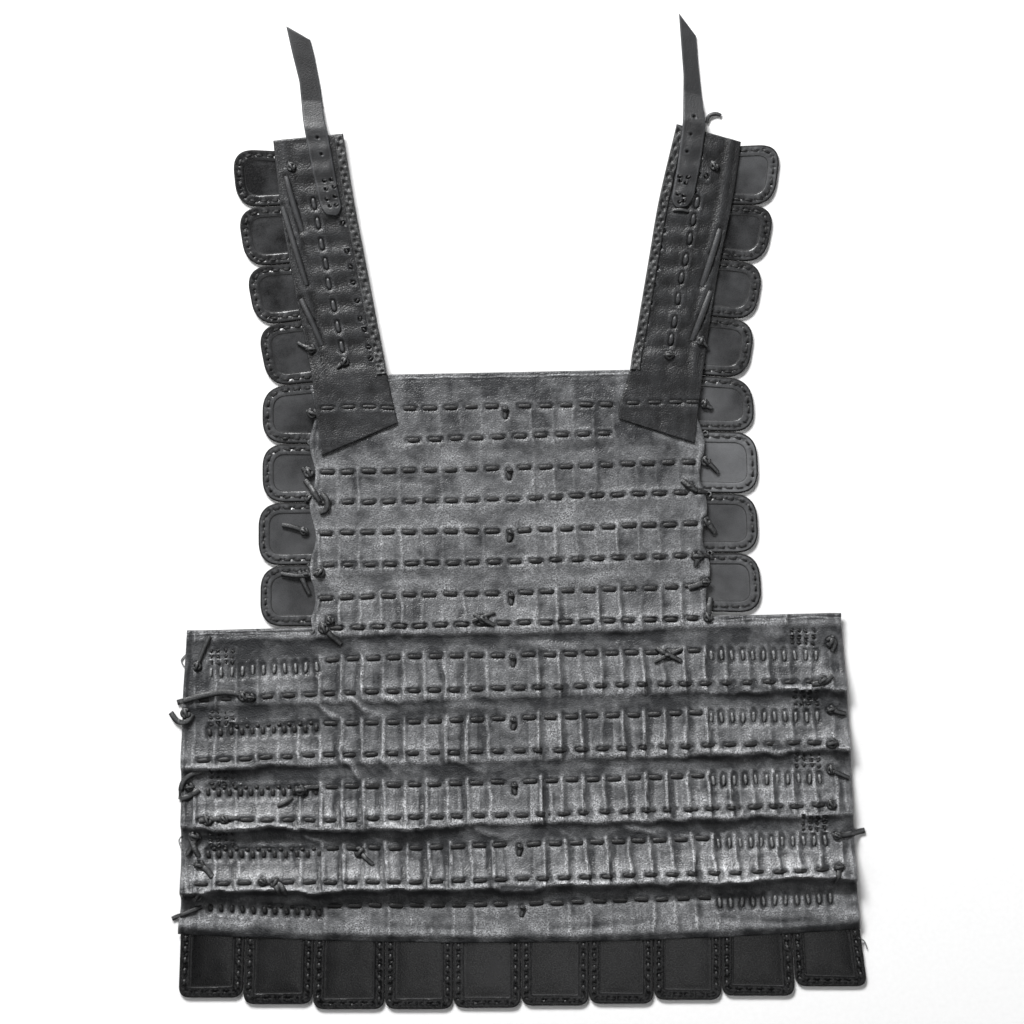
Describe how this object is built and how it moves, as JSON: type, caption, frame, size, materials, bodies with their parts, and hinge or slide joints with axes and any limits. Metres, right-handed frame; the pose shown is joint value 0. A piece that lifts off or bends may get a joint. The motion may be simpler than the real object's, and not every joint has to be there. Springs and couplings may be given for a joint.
{
  "type": "lamellar armour half laid flat",
  "caption": "Half of a body armour of laced steel lamellae, laid flat with its black leather lining up, with shoulder straps, strap tongues and tabbed armhole and hem edges.",
  "frame": {"origin": "on the table, under the middle of the outline", "axes": "+X across the chest, +Y from the hem to the neck, +Z away from the table, out of the lining"},
  "size_m": [0.6062, 0.8782, 0.0166],
  "materials": {
    "lamella_steel": "ground steel lamellae, satin",
    "lining_leather": "black grain leather, semi-matt, rubbed where the lamellae press",
    "strap_leather": "black strap leather, semi-matt",
    "tab_leather": "black edging leather with a stitched rim, semi-matt"
  },
  "bodies": {
    "root": {"lining_chest": "lining_leather", "lining_waist": "lining_leather", "panel_shoulder_left": "lining_leather", "panel_shoulder_right": "lining_leather", "binding_shoulder_left": "tab_leather", "binding_shoulder_right": "tab_leather", "strap_tongue_left": "strap_leather", "strap_tongue_right": "strap_leather", "tab_shoulder_left_1": "tab_leather", "tab_shoulder_left_2": "tab_leather", "tab_shoulder_left_3": "tab_leather", "tab_shoulder_left_4": "tab_leather", "tab_shoulder_right_1": "tab_leather", "tab_shoulder_right_2": "tab_leather", "tab_shoulder_right_3": "tab_leather", "tab_shoulder_right_4": "tab_leather", "tab_chest_left_1": "tab_leather", "tab_chest_left_2": "tab_leather", "tab_chest_left_3": "tab_leather", "tab_chest_left_4": "tab_leather", "tab_chest_right_1": "tab_leather", "tab_chest_right_2": "tab_leather", "tab_chest_right_3": "tab_leather", "tab_chest_right_4": "tab_leather", "tab_hem_01": "tab_leather", "tab_hem_02": "tab_leather", "tab_hem_03": "tab_leather", "tab_hem_04": "tab_leather", "tab_hem_05": "tab_leather", "tab_hem_06": "tab_leather", "tab_hem_07": "tab_leather", "tab_hem_08": "tab_leather", "tab_hem_09": "tab_leather", "tab_hem_10": "tab_leather", "lamellae_chest_1": "lamella_steel", "lamellae_chest_2": "lamella_steel", "lamellae_chest_3": "lamella_steel", "lamellae_chest_4": "lamella_steel", "lamellae_waist_1": "lamella_steel", "lamellae_waist_2": "lamella_steel", "lamellae_waist_3": "lamella_steel", "lamellae_waist_4": "lamella_steel", "lamellae_waist_5": "lamella_steel", "lamellae_shoulder_left": "lamella_steel", "lamellae_shoulder_right": "lamella_steel"}
  },
  "joints": []
}
